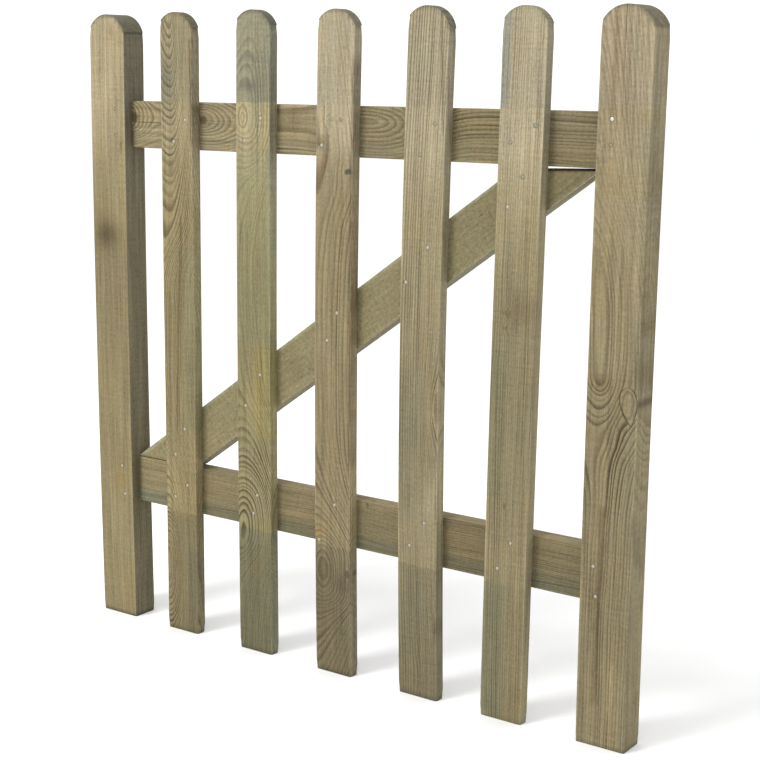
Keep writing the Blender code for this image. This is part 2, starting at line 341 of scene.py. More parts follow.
class Graph:
    """Writes shader nodes as expressions.  A value is a socket, a number or a tuple."""

    def __init__(self, name):
        self.material = bpy.data.materials.new(name)
        self.material.use_nodes = True
        self.tree = self.material.node_tree
        self.shader = self.tree.nodes["Principled BSDF"]

    def feed(self, socket, value):
        if isinstance(value, bpy.types.NodeSocket):
            self.tree.links.new(value, socket)
        else:
            socket.default_value = value

    def node(self, kind, inputs, **settings):
        node = self.tree.nodes.new("ShaderNode" + kind)
        for key, value in settings.items():
            setattr(node, key, value)
        for key, value in inputs.items():
            self.feed(node.inputs[key], value)
        return node

    def math(self, operation, *values, clamp=False):
        inputs = dict(enumerate(values))
        return self.node("Math", inputs, operation=operation, use_clamp=clamp).outputs[0]

    def add(self, a, b):
        return self.math("ADD", a, b)

    def sub(self, a, b):
        return self.math("SUBTRACT", a, b)

    def mul(self, a, b):
        return self.math("MULTIPLY", a, b)

    def linear(self, value, factor, offset):
        return self.math("MULTIPLY_ADD", value, factor, offset)

    def vector(self, x, y=0.0):
        return self.node("CombineXYZ", {0: x, 1: y}).outputs[0]

    def split(self, vector):
        return self.node("SeparateXYZ", {0: vector}).outputs

    def noise(self, vector, factors, offset, detail=2.0, roughness=0.5):
        """Smooth noise between about -1 and 1, at so many lumps per unit in each direction."""
        inputs = {0: vector, 1: factors, 2: offset}
        place = self.node("VectorMath", inputs, operation="MULTIPLY_ADD").outputs[0]
        inputs = {"Vector": place, "Scale": 1.0, "Detail": detail, "Roughness": roughness}
        return self.linear(self.node("TexNoise", inputs).outputs[0], 4.0, -2.0)

    def lumps(self, board, kind, seed):
        """One kind of unevenness in the wood."""
        across, along, detail, roughness = LUMPS[kind]
        return self.noise(board, (across, across, along), seed, detail, roughness)

    def step(self, value, low, high):
        """0 at low, 1 at high and smooth between; low may be above high."""
        if low > high:
            return self.sub(1.0, self.step(value, high, low))
        inputs = {"Value": value, "From Min": low, "From Max": high}
        return self.node("MapRange", inputs, interpolation_type="SMOOTHSTEP").outputs[0]

    def mix(self, factor, a, b, blend="MIX"):
        node = self.node("Mix", {}, data_type="RGBA", blend_type=blend)
        self.feed(node.inputs[0], factor)
        self.feed(node.inputs[6], a)
        self.feed(node.inputs[7], b)
        return node.outputs[2]

    def tint(self, colour, mask, tint):
        """Multiply a colour by a tint, where the mask says so."""
        return self.mix(mask, colour, (*tint, 1.0), "MULTIPLY")

    def shade(self, colour, factor):
        """Multiply a colour by a number."""
        return self.node("VectorMath", {0: colour, "Scale": factor}, operation="SCALE").outputs[0]

    def curve(self, value, knots, low, high):
        """A smooth curve through (position, height) knots, with positions from 0 to 1."""
        node = self.node("FloatCurve", {"Value": value})
        line = node.mapping.curves[0]
        spots = [(x, (y - low) / (high - low)) for x, y in knots]
        line.points[0].location = spots[0]
        line.points[1].location = spots[-1]
        for spot in spots[1:-1]:
            line.points.new(*spot)
        for point in line.points:
            point.handle_type = "AUTO_CLAMPED"
        node.mapping.update()
        return self.linear(node.outputs[0], high - low, low)

    def levels(self, share, rows, length):
        """A smooth curve through (along, level) rows."""
        return self.curve(share, [(along / length, level) for along, level in rows], 0.0, 2.0)

    def blob(self, across, along, place, reach):
        """A soft spot: 1 at its place, about a third at its reach and 0 further out."""
        x = self.mul(self.sub(across, place[0]), 1 / reach[0])
        z = self.mul(self.sub(along, place[1]), 1 / reach[1])
        return self.math("EXPONENT", self.mul(self.add(self.mul(x, x), self.mul(z, z)), -1.0))

    def band(self, value, low, high, soft):
        """1 between low and high."""
        return self.mul(self.step(value, low - soft, low + soft), self.step(value, high + soft, high - soft))


# ---------------- wood

# Places on a board are in millimetres: across from its middle, and along from its foot or left end.
# A tint multiplies the wood's colour.  A lean is so far across for each millimetre along, except a drop's,
# which is an angle.  FAR is past the edge of any board.
FAR = 99
Knot = namedtuple("Knot", "across along radius_across radius_along tint pull", defaults=(0.8,))
Drop = namedtuple("Drop", "across along radius length lean")
Swirl = namedtuple("Swirl", "across along reach_across reach_along rise")
Stain = namedtuple("Stain", "across along reach_across reach_along tint")
Zone = namedtuple("Zone", "low high tint left right soft", defaults=(-FAR, FAR, 1.0))
Streak = namedtuple("Streak", "across low high lean width wiggle tint")
Lumps = namedtuple("Lumps", "across along detail roughness", defaults=(0.5,))

# A knot bends the grain fully this far in from the front, and not at all further back than this.
KNOT_FRONT = 4.0
KNOT_BACK = 16.0

PITH_RANGE = 200.0
DROP_WIDEST = 1.09
WARM_HUE = (1.06, 0.98, 0.88)
COOL_HUE = (0.93, 1.0, 1.04)
END_TINT = (0.54, 0.56, 0.57)
# The uprights' sides are tinted a little darker and cooler as painted shade.
SIDE_SHADE_TINT = (0.93, 0.96, 1.02)
# The front's long edges are tinted lighter: wear, with a painted highlight.
EDGE_WEAR_AND_HIGHLIGHT_TINT = (1.14, 1.14, 1.16)
FLECK_TINT = (0.70, 0.67, 0.63)
DROP_RIM_TINT = (0.28, 0.25, 0.22)
PIT_TINT = (0.60, 0.58, 0.52)
KNOT_RIM_TINT = (0.45, 0.42, 0.40)

# The kinds of unevenness in the wood, with their lumps per millimetre across the grain and along it.
LUMPS = {
    "sway": Lumps(0.022, 0.0045, 1.0),
    "ripple": Lumps(0.1, 0.018, 2.0),
    "patches": Lumps(0.03, 0.006, 3.0),
    "wander": Lumps(0.05, 0.03, 3.0),
    "fibre": Lumps(0.17, 0.004, 5.0, 0.8),
    "flecks": Lumps(0.7, 0.1, 1.0),
    "cloud": Lumps(0.018, 0.007, 3.0),
    "hue": Lumps(0.03, 0.01, 3.0),
    "grit": Lumps(0.33, 0.2, 3.0, 0.7),
    "planing": Lumps(0.02, 0.3, 2.0),
    "pits": Lumps(0.22, 0.16, 4.0, 0.7),
    "holes": Lumps(0.2, 0.15, 3.0),
}

# How much some of them change the wood's brightness.
CLOUD_SHARE = 0.10
PLANING_SHARE = 0.08
GRIT_SHARE = 0.25
PIT_SHARE = 0.26

# The uprights are warmer in colour below WARM_FULL, and not above WARM_TOP.
WARM_FULL = 700.0
WARM_TOP = 850.0
WARM_TINT = (1.0, 0.98, 0.85)

# Their sides have a tone of their own below FOOT_FULL, and not above FOOT_TOP.
FOOT_FULL = 190.0
FOOT_TOP = 240.0

# Surface: how rough and shiny the wood is, and how far its fibres and rings stand out, in millimetres.
WOOD_ROUGHNESS = 0.82
WOOD_SHINE = 0.25
FIBRE_HEIGHT = 0.03
RING_HEIGHT = -0.07
GRAIN_STRENGTH = 0.6

# Each board's unevenness is taken this far on from the last one's.
SEED_STEP = (137.0, 71.0, 311.0)

# How bright a white front face looks in this studio light.
FRONT_LIGHT = 1.9


@dataclass
class Wood:
    """One board's looks.

    light and dark are how its early and late wood look, in 0 to 255 values.  ring is a year's width and
    contrast how dark the late wood gets.  pith is where the tree's heart lies, as (along, across, depth).
    tone is the board's brightness and figure its rings' strength, as (along, level); an upright's tone is
    lower towards its foot, partly as painted shade.  side tints the board's narrow faces as painted light
    and
    shade: darker on an upright's sides, lighter on the tops and bottoms of the rails and brace.  end tints
    the end grain, and on the brace it also paints the shade on the upper cut under the rail.
    """

    light: tuple
    dark: tuple
    ring: float
    contrast: float
    pith: tuple
    tone: tuple
    figure: tuple = ((0, 1.0), (1000, 1.0))
    flank: float = 0.0
    sway: float = 2.0
    fibre: float = 0.44
    fleck: float = 0.75
    pits: float = 0.0
    warm: bool = True
    side: tuple = SIDE_SHADE_TINT
    side_foot: float = 0.78
    end: tuple = END_TINT
    drops: tuple = ()
    knots: tuple = ()
    swirls: tuple = ()
    stains: tuple = ()
    zones: tuple = ()
    streaks: tuple = ()


def looks(red, green, blue):
    """The wood colour that looks like this in the studio, in 0 to 255 values."""
    channels = []
    for value in (red, green, blue):
        channels.append(((value / 255 + 0.055) / 1.055) ** 2.4 / FRONT_LIGHT)
    return (*channels, 1.0)


def ring_distance(g, wood, board, seed, length):
    """How far each point is from the tree's heart, in millimetres, with the grain bent round the knots."""
    across, through, along = g.split(board)
    sway, ripple = [g.lumps(board, kind, seed) for kind in ("sway", "ripple")]
    x = g.add(across, g.linear(sway, wood.sway, g.mul(ripple, 0.5)))
    for knot in wood.knots:
        reach = (knot.radius_across * 2.2, knot.radius_along * 2.6)
        near = g.mul(g.blob(across, along, knot[:2], reach), g.step(through, KNOT_BACK, KNOT_FRONT))
        x = g.sub(x, g.mul(g.mul(g.sub(x, knot.across), near), knot.pull))

    share = g.mul(along, 1 / length)
    places, sides, depths = zip(*wood.pith)
    shares = [place / length for place in places]
    heart_x = g.curve(share, zip(shares, sides), -PITH_RANGE, PITH_RANGE)
    heart_y = g.curve(share, zip(shares, depths), -PITH_RANGE, PITH_RANGE)
    x = g.sub(x, heart_x)
    if wood.flank:
        x = g.add(x, g.mul(g.math("MAXIMUM", x, 0.0), wood.flank))
    spoke = g.vector(x, g.sub(through, heart_y))
    distance = g.node("VectorMath", {0: spoke}, operation="LENGTH").outputs["Value"]
    for swirl in wood.swirls:
        distance = g.add(distance, g.mul(g.blob(across, along, swirl[:2], swirl[2:4]), swirl.rise))
    return distance


def latewood(g, wood, board, distance, seed):
    """The dark part of each year: it comes in slowly and ends sharply, and years differ."""
    years = g.mul(distance, 1 / wood.ring)
    years = g.add(years, g.mul(g.noise(g.vector(years), (0.37, 0, 0), seed), 0.5))
    age = g.math("FRACT", years)
    dark = g.sub(g.step(age, 0.25, 0.84), g.step(age, 0.88, 1.0))
    year = g.vector(g.math("FLOOR", years), seed[0])
    strength = g.node("TexWhiteNoise", {"Vector": year}, noise_dimensions="3D").outputs["Value"]
    patchy = g.lumps(board, "patches", seed)
    dark = g.mul(dark, g.linear(strength, 0.65, 0.35))
    return g.mul(dark, g.math("MULTIPLY_ADD", patchy, 0.35, wood.contrast, clamp=True))


def weathering_and_painted_light(g, wood, board, colour, seed, half_width):
    """Stains, zones, streaks, knots, worn and highlighted edges and end grain, over the clean wood's colour;
    some of them are painted light and shade.
    """
    across, through, along = g.split(board)
    wander = g.lumps(board, "wander", seed)
    loose_across = g.linear(wander, 2.0, across)
    loose_along = g.linear(wander, 3.0, along)
    for stain in wood.stains:
        colour = g.tint(colour, g.blob(loose_across, loose_along, stain[:2], stain[2:4]), stain.tint)
    for zone in wood.zones:
        mask = g.band(along, zone.low, zone.high, 0.8)
        if (zone.left, zone.right) != (-FAR, FAR):
            mask = g.mul(mask, g.band(loose_across, zone.left, zone.right, zone.soft))
        colour = g.tint(colour, mask, zone.tint)
    for streak in wood.streaks:
        wiggle = g.noise(g.vector(along), (0.03, 0, 0), seed, detail=1.0)
        foot = streak.across - streak.lean * streak.low
        centre = g.linear(wiggle, streak.wiggle, g.linear(along, streak.lean, foot))
        offset = g.mul(g.sub(across, centre), 1 / streak.width)
        mask = g.math("EXPONENT", g.mul(g.mul(offset, offset), -1.0))
        colour = g.tint(colour, g.mul(mask, g.band(along, streak.low, streak.high, 8.0)), streak.tint)
    for knot in wood.knots:
        spot = g.blob(loose_across, loose_along, knot[:2], knot[2:4])
        rim = g.mul(g.band(spot, 0.34, 0.52, 0.08), 0.6)
        colour = g.tint(colour, g.step(spot, 0.3, 0.7), knot.tint)
        colour = g.tint(colour, rim, KNOT_RIM_TINT)

    # Both long edges of the front are lighter: wear, and a painted highlight on the rounded arrises.
    from_middle = g.math("ABSOLUTE", across)
    edge = g.mul(g.step(from_middle, half_width - 5, half_width - 2), g.step(through, 5.0, 2.0))
    edge = g.mul(edge, g.math("MULTIPLY_ADD", wander, 0.4, 0.6, clamp=True))
    colour = g.tint(colour, edge, EDGE_WEAR_AND_HIGHLIGHT_TINT)
    # End grain takes the board's end tint; on the brace this also paints shade on the upper cut under the
    # rail.
    end = g.node("Attribute", {}, attribute_name="end_grain").outputs["Fac"]
    return g.tint(colour, end, wood.end)


def drop_shape(g, drop, across, along):
    """(inside, rim) of a knot that is round above and pointed below, leaning to the right."""
    x = g.sub(across, drop.across)
    z = g.sub(along, drop.along)
    cos, sin = math.cos(drop.lean), math.sin(drop.lean)
    down = g.math("MULTIPLY_ADD", z, -cos / drop.length, g.mul(x, sin / drop.length))
    beside = g.math("ABSOLUTE", g.math("MULTIPLY_ADD", z, sin, g.mul(x, cos)))
    taper = g.math("SQRT", g.math("MAXIMUM", g.add(down, 1.0), 0.0))
    reach = g.mul(g.mul(taper, g.sub(1.0, down)), drop.radius / DROP_WIDEST)
    outside = g.sub(beside, reach)
    near = g.band(down, -1.0, 1.0, 0.06)
    inside = g.mul(g.step(outside, 0.3, -0.3), near)
    rim = g.mul(g.math("EXPONENT", g.mul(g.mul(outside, outside), -1.1)), near)
    return inside, rim


def pine(name, wood, length, half_width, seed):
    g = Graph(name)
    board = g.node("Attribute", {}, attribute_name="board").outputs["Vector"]
    seed = tuple(seed * step for step in SEED_STEP)
    distance = ring_distance(g, wood, board, seed, length)
    dark = latewood(g, wood, board, distance, seed)

    kinds = ("fibre", "cloud", "grit", "planing")
    fibre, cloud, grit, planing = [g.lumps(board, kind, seed) for kind in kinds]
    fleck = g.step(g.lumps(board, "flecks", seed), wood.fleck, wood.fleck + 0.45)
    hue = g.lumps(board, "hue", (seed[1], seed[2], seed[0]))
    across, _, along = g.split(board)
    share = g.mul(along, 1 / length)
    dark = g.mul(dark, g.levels(share, wood.figure, length))
    side = g.step(g.math("ABSOLUTE", across), half_width - 1.0, half_width - 0.2)
    dark = g.mul(dark, g.linear(side, -0.5, 1.0))
    rims = 0.0
    for drop in wood.drops:
        inside, rim = drop_shape(g, drop, across, along)
        dark = g.mul(dark, g.linear(inside, -0.9, 1.0))
        rims = g.add(rims, rim)

    colour = g.mix(dark, looks(*wood.light), looks(*wood.dark))
    if wood.drops:
        colour = g.tint(colour, rims, DROP_RIM_TINT)
    # An upright's tone falls towards its foot, partly as painted shade.
    tone = g.levels(share, wood.tone, length)
    side_tone = g.linear(g.step(along, FOOT_FULL, FOOT_TOP), 1 - wood.side_foot, wood.side_foot)
    tone = g.add(g.mul(tone, g.sub(1.0, side)), g.mul(side_tone, side))
    texture = g.linear(planing, PLANING_SHARE, g.linear(grit, GRIT_SHARE, 1.0))
    texture = g.linear(cloud, CLOUD_SHARE, texture)
    tone = g.mul(tone, g.linear(fibre, wood.fibre, texture))
    colour = g.shade(colour, tone)
    # Painted light and shade: the narrow faces take the board's side tint, darker on an upright's sides and
    # lighter on the tops and bottoms of the rails and brace.
    colour = g.tint(colour, side, wood.side)
    if wood.warm:
        colour = g.tint(colour, g.step(along, WARM_TOP, WARM_FULL), WARM_TINT)
    colour = g.tint(colour, g.math("MULTIPLY", hue, 0.5, clamp=True), WARM_HUE)
    colour = g.tint(colour, g.math("MULTIPLY", hue, -0.5, clamp=True), COOL_HUE)
    colour = g.tint(colour, fleck, FLECK_TINT)

    height = g.linear(fibre, FIBRE_HEIGHT, g.mul(dark, RING_HEIGHT))
    if wood.pits:
        pits = g.lumps(board, "pits", seed)
        height = g.linear(pits, wood.pits, height)
        colour = g.shade(colour, g.linear(pits, PIT_SHARE, 1.0))
        holes = g.step(g.lumps(board, "holes", seed), 0.35, 0.95)
        colour = g.tint(colour, holes, PIT_TINT)
    colour = weathering_and_painted_light(g, wood, board, colour, seed, half_width)

    bump = g.node("Bump", {"Height": height, "Distance": MM, "Strength": GRAIN_STRENGTH})
    g.feed(g.shader.inputs["Base Color"], colour)
    g.feed(g.shader.inputs["Roughness"], g.linear(dark, -0.12, g.linear(fibre, 0.04, WOOD_ROUGHNESS)))
    g.feed(g.shader.inputs["Normal"], bump.outputs[0])
    g.shader.inputs["Specular IOR Level"].default_value = WOOD_SHINE
    return g.material


def galvanised(name, dark, light, roughness):
    """Zinc-coated steel with a fine spangle."""
    g = Graph(name)
    place = g.node("TexCoord", {}).outputs["Object"]
    spangle = g.noise(place, (900, 900, 900), (0, 0, 0), detail=2.0)
    mask = g.math("MULTIPLY_ADD", spangle, 0.5, 0.5, clamp=True)
    g.feed(g.shader.inputs["Base Color"], g.mix(mask, dark, light))
    g.feed(g.shader.inputs["Roughness"], g.linear(spangle, 0.1, roughness))
    g.shader.inputs["Metallic"].default_value = 0.5
    bump = g.node("Bump", {"Height": spangle, "Distance": 0.05 * MM, "Strength": 0.5})
    g.feed(g.shader.inputs["Normal"], bump.outputs[0])
    return g.material


# ---------------- the figure of each board

BLEACHED = (1.14, 1.15, 1.20)
CRACK_DARK = (0.42, 0.38, 0.35)

WOODS = {}

WOODS["hinge_stile"] = Wood(
    light=(188, 173, 136), dark=(138, 122, 86), ring=2.8, contrast=0.5, sway=1.2,
    pith=((0, -150, 60), (500, -156, 60), (1000, -150, 60)),
    tone=(
        (0, 0.72), (120, 0.74), (270, 0.7), (430, 0.64), (560, 0.62), (700, 0.7), (790, 0.82), (850, 0.92),
        (930, 1), (1000, 1),
    ),
    # Its side tint paints shade on its sides, dark on the inner side.
    side=(0.5, 0.53, 0.61), side_foot=0.95, end=(0.36, 0.4, 0.46), fleck=0.62,
    stains=(
        Stain(8, 975, 10, 8, (0.9, 0.86, 0.82)), Stain(-8, 650, 28, 24, (0.46, 0.43, 0.38)),
        Stain(-31, 598, 6, 6, (1.25, 1.15, 1.25)), Stain(27, 795, 3, 8, (0.58, 0.5, 0.45)),
        Stain(-20, 880, 20, 26, (1.06, 1.07, 1.05)), Stain(-15, 445, 10, 14, (1, 0.93, 0.98)),
        Stain(10, 240, 14, 18, (1.06, 1.02, 0.86)), Stain(18, 965, 14, 12, (0.97, 0.92, 0.88)),
    ),
    streaks=(
        Streak(18, 200, 310, 0, 1.2, 2, (0.74, 0.7, 0.68)),
        Streak(26, 700, 900, 0, 2.5, 2, (1.06, 1.02, 0.88)),
    ),
)

WOODS["picket_1"] = Wood(
    light=(182, 167, 128), dark=(90, 77, 54), ring=3.4, contrast=0.85, flank=0.8,
    pith=(
        (0, -28, 60), (110, -30, 32), (240, -30, 70), (400, -66, 90), (580, -60, 96), (690, -16, 92),
        (960, -13, 24), (1000, -13, 16),
    ),
    tone=(
        (0, 0.71), (150, 0.71), (195, 0.75), (215, 0.89), (300, 0.87), (430, 0.77), (570, 0.76),
        (720, 0.81), (830, 0.92), (1000, 0.94),
    ),
    # The pale bluish stain on the right side just below the upper rail is painted light.
    stains=(
        Stain(-20, 895, 18, 34, (0.72, 0.78, 0.84)), Stain(33, 770, 2.5, 60, (1.2, 1.22, 1.38)),
        Stain(-15, 765, 10, 12, (0.84, 0.8, 0.78)), Stain(-15, 710, 9, 16, (0.86, 0.82, 0.8)),
        Stain(-25, 450, 8, 24, (1.08, 1.12, 1.12)), Stain(-22, 165, 8, 14, (1.12, 1.13, 1.22)),
        Stain(-20, 140, 7, 7, (1.12, 1, 1.06)), Stain(25, 150, 6, 20, (1.04, 1.12, 1.1)),
    ),
    zones=(
        Zone(868, 1010, (0.94, 0.96, 1)), Zone(-5, 203, (0.92, 0.93, 0.95)),
        Zone(345, 640, (0.93, 0.99, 1.02), left=4, soft=5), Zone(-5, 140, (0.9, 0.93, 1), left=8, soft=8),
    ),
    streaks=(
        Streak(30, 800, 960, -0.01, 1.6, 1.5, (0.5, 0.46, 0.44)),
        Streak(-12, 806, 812, 0.6, 2, 0, (0.4, 0.36, 0.33)),
        Streak(-8, 340, 690, 0.04, 1.5, 2, (0.62, 0.56, 0.52)),
        Streak(-3, 350, 680, 0.035, 1.2, 2, (0.7, 0.64, 0.6)),
        Streak(20, 400, 650, 0, 3, 2, (1.1, 1.13, 1.17)),
    ),
)

WOODS["picket_2"] = Wood(
    light=(184, 173, 134), dark=(100, 89, 60), ring=3.1, contrast=0.7,
    pith=(
        (0, -60, 50), (110, -50, 44), (195, -22, 28), (340, -20, 66), (450, -44, 80), (620, -62, 80),
        (740, -40, 78), (800, -14, 60), (845, -18, 50), (1000, -2, 66),
    ),
    tone=(
        (0, 0.55), (150, 0.55), (230, 0.75), (300, 0.74), (430, 0.7), (570, 0.66), (720, 0.78),
        (793, 0.86), (830, 1), (1000, 1),
    ),
    figure=(
        (0, 0.6), (180, 0.8), (215, 1.5), (310, 1.5), (370, 0.7), (780, 0.5), (850, 1), (900, 0.9),
        (950, 0.5), (1000, 0.3),
    ),
    swirls=(Swirl(-20, 845, 8, 16, -6.5),),
    # The pale bluish stain on the right side just below the upper rail is painted light.
    stains=(
        Stain(-10, 893, 20, 7, (0.7, 0.72, 0.78)), Stain(33, 770, 2.5, 60, (1.12, 1.12, 1.42)),
        Stain(-4, 933, 26, 6, (0.84, 0.85, 0.9)), Stain(0, 145, 12, 20, (1.16, 1.05, 0.86)),
        Stain(-10, 405, 16, 20, (1.08, 1.06, 0.98)),
    ),
    zones=(
        Zone(868, 1010, (0.7, 0.75, 0.86)), Zone(-5, 203, (0.82, 0.88, 0.98)),
        Zone(500, 793, (0.97, 1.01, 1.02)), Zone(350, 500, (1.06, 1.03, 0.86), left=2, soft=5),
    ),
    streaks=(
        Streak(12, 800, 868, -0.12, 3, 1, (0.82, 0.86, 0.8)),
        Streak(24, 800, 868, 0, 3, 1, (1.08, 1.06, 0.9)),
        Streak(30, 340, 800, 0, 2.5, 1, (0.88, 0.93, 0.98)),
    ),
)

WOODS["picket_3"] = Wood(
    light=(190, 177, 144), dark=(104, 87, 60), ring=4.8, contrast=0.68,
    pith=(
        (0, -52, 70), (80, -34, 52), (138, -20, 18), (165, -20, 11), (192, -20, 18), (230, -26, 40),
        (300, -48, 60), (450, -58, 70), (680, -48, 72), (760, -30, 70), (840, -44, 64), (1000, -66, 70),
    ),
    tone=(
        (0, 0.55), (150, 0.55), (230, 0.69), (430, 0.65), (570, 0.71), (700, 0.67), (780, 0.76),
        (830, 0.95), (1000, 1),
    ),
    figure=((0, 0.8), (120, 1), (330, 0.9), (700, 1), (800, 1), (870, 0.5), (1000, 0.4)),
    knots=(Knot(25, 772, 6, 5, (0.34, 0.37, 0.42)), Knot(28, 165, 5, 7, (0.55, 0.54, 0.58))),
    swirls=(Swirl(-10, 846, 8, 7, 7),),
    stains=(
        Stain(-25, 812, 9, 12, (0.62, 0.55, 0.48)), Stain(-20, 782, 6, 14, (1.04, 0.86, 0.78)),
        Stain(-25, 225, 7, 9, (1.16, 0.98, 0.72)), Stain(16, 145, 12, 14, (0.72, 0.7, 0.74)),
        Stain(-24, 850, 9, 10, (1.05, 1, 0.86)),
    ),
    zones=(
        Zone(868, 1010, (0.95, 0.96, 0.98)), Zone(203, 793, (1, 0.97, 0.94)),
        Zone(-5, 203, (0.84, 0.82, 0.82)),
    ),
    streaks=(
        Streak(31, 330, 935, 0, 2.2, 1, (0.62, 0.57, 0.54)),
        Streak(3, 400, 700, 0, 1.2, 2, (0.8, 0.76, 0.74)),
    ),
)

WOODS["picket_4"] = Wood(
    light=(192, 179, 146), dark=(112, 98, 70), ring=3.8, contrast=0.72, sway=1.2,
    pith=((0, -60, 22), (500, -64, 25), (1000, -52, 25)),
    tone=(
        (0, 0.67), (150, 0.67), (230, 0.74), (430, 0.7), (570, 0.73), (720, 0.83), (830, 0.97),
        (1000, 0.97),
    ),
    figure=((0, 0.8), (180, 0.9), (230, 0.5), (360, 0.7), (430, 1.2), (560, 1.2), (680, 0.9), (1000, 1.1)),
    swirls=(
        Swirl(24, 440, 15, 60, 14), Swirl(22, 190, 9, 10, 6), Swirl(22, 150, 8, 9, 5),
        Swirl(10, 30, 20, 50, -6),
    ),
    stains=(
        Stain(22, 430, 6, 12, (1.2, 1.2, 1.24)), Stain(32, 112, 3, 14, (0.6, 0.55, 0.5)),
        Stain(20, 310, 10, 26, (1.12, 1.12, 1.16)),
    ),
    zones=(
        Zone(868, 1010, (0.92, 0.93, 0.94)), Zone(203, 793, (0.96, 0.96, 0.98)),
        Zone(-5, 203, (0.78, 0.79, 0.82)), Zone(275, 500, (0.93, 0.95, 0.99), right=3, soft=10),
    ),
    streaks=(
        Streak(18, 280, 345, 0.05, 2, 1, BLEACHED), Streak(26, 275, 345, 0.03, 2, 1, BLEACHED),
        Streak(30, 830, 1000, -0.06, 1.6, 1, (0.66, 0.62, 0.6)),
    ),
)

WOODS["picket_5"] = Wood(
    light=(194, 181, 148), dark=(122, 107, 78), ring=3.3, contrast=0.62, sway=1,
    pith=((0, -80, 30), (500, -84, 34), (1000, -80, 30)),
    tone=(
        (0, 0.6), (150, 0.6), (230, 0.66), (430, 0.58), (570, 0.6), (700, 0.75), (780, 0.88), (830, 1.03),
        (1000, 1.01),
    ),
    swirls=(Swirl(-12, 592, 7, 7, 6), Swirl(-12, 570, 6, 6, 5), Swirl(-28, 480, 8, 60, 3)),
    stains=(
        Stain(14, 597, 24, 26, (0.76, 0.71, 0.68)), Stain(34, 50, 3, 70, (1.18, 1.22, 1.24)),
        Stain(-12, 592, 5, 4, (0.7, 0.62, 0.58)), Stain(-13, 571, 4, 3, (0.74, 0.66, 0.62)),
        Stain(-5, 318, 1.6, 4, (0.5, 0.45, 0.4)), Stain(-26, 4, 10, 5, (1.3, 1.3, 1.36)),
        Stain(28, 30, 5, 14, (1.15, 1.08, 0.92)),
    ),
    zones=(
        Zone(868, 1010, (0.95, 0.96, 0.99)), Zone(868, 995, (0.8, 0.88, 1.02), right=-20, soft=2),
        Zone(330, 540, (0.88, 0.95, 0.93), right=-12, soft=5),
        Zone(-5, 203, (0.82, 0.89, 0.89), right=2, soft=6),
        Zone(-5, 203, (0.96, 0.95, 0.93), left=2, soft=6),
    ),
    streaks=(Streak(30, 230, 340, 0, 1.5, 0.5, (1.14, 1.12, 1.1)),),
    end=(0.76, 0.81, 0.8),
)

WOODS["latch_stile"] = Wood(
    light=(184, 170, 138), dark=(98, 82, 55), ring=4.3, contrast=0.76,
    pith=(
        (0, -62, 26), (250, -60, 26), (340, -56, 30), (400, -42, 42), (440, -26, 44), (480, -20, 32),
        (520, -19, 15), (600, -20, 13), (680, -30, 17), (790, -54, 34), (1000, -62, 66),
    ),
    tone=((0, 0.8), (100, 0.74), (270, 0.68), (430, 0.66), (570, 0.78), (720, 0.8), (850, 0.83), (1000, 1)),
    figure=((0, 0.9), (300, 0.9), (380, 1.3), (490, 1.2), (545, 0.9), (620, 0.8), (700, 0.5), (1000, 0.5)),
    # Its side tint paints shade on its sides.
    side=(0.86, 0.86, 0.84), side_foot=0.95,
    knots=(Knot(23, 486, 8, 20, (0.98, 0.97, 0.95), 0.7),),
    drops=(Drop(25, 484, 12.5, 26, 0.15),),
    stains=(
        Stain(38, 520, 8, 36, (0.74, 0.7, 0.66)), Stain(38, 650, 5, 50, (0.9, 0.88, 0.86)),
        Stain(38, 780, 6, 70, (0.8, 0.79, 0.79)), Stain(39, 592, 5, 16, (0.7, 0.66, 0.62)),
        Stain(36, 496, 3, 16, (1.24, 1.24, 1.32)), Stain(-15, 512, 15, 12, (0.8, 0.74, 0.68)),
        Stain(-14, 3, 26, 5, (1.18, 1.18, 1.22)), Stain(-34, 820, 3, 4, (1.35, 1.38, 1.45)),
        Stain(29, 464, 5, 6, (1.3, 1.32, 1.34)), Stain(-10, 930, 20, 50, (0.96, 0.92, 0.9)),
    ),
    zones=(
        Zone(760, 872, (1, 0.98, 0.9), soft=4), Zone(330, 850, (1, 1.04, 1.1), left=22, soft=5),
        Zone(-5, 330, (0.92, 0.95, 1), left=28, soft=5),
    ),
    streaks=(
        Streak(-2.5, 860, 1000, 0, 0.7, 0.5, (0.72, 0.66, 0.62)),
        Streak(-16, 860, 1000, 0, 4, 2, (0.85, 0.8, 0.77)),
        Streak(-12, 60, 343, 0.02, 6, 3, (0.74, 0.7, 0.66)),
        Streak(14, 55, 125, 0, 3, 4, (1.18, 1.18, 1.22)),
    ),
)

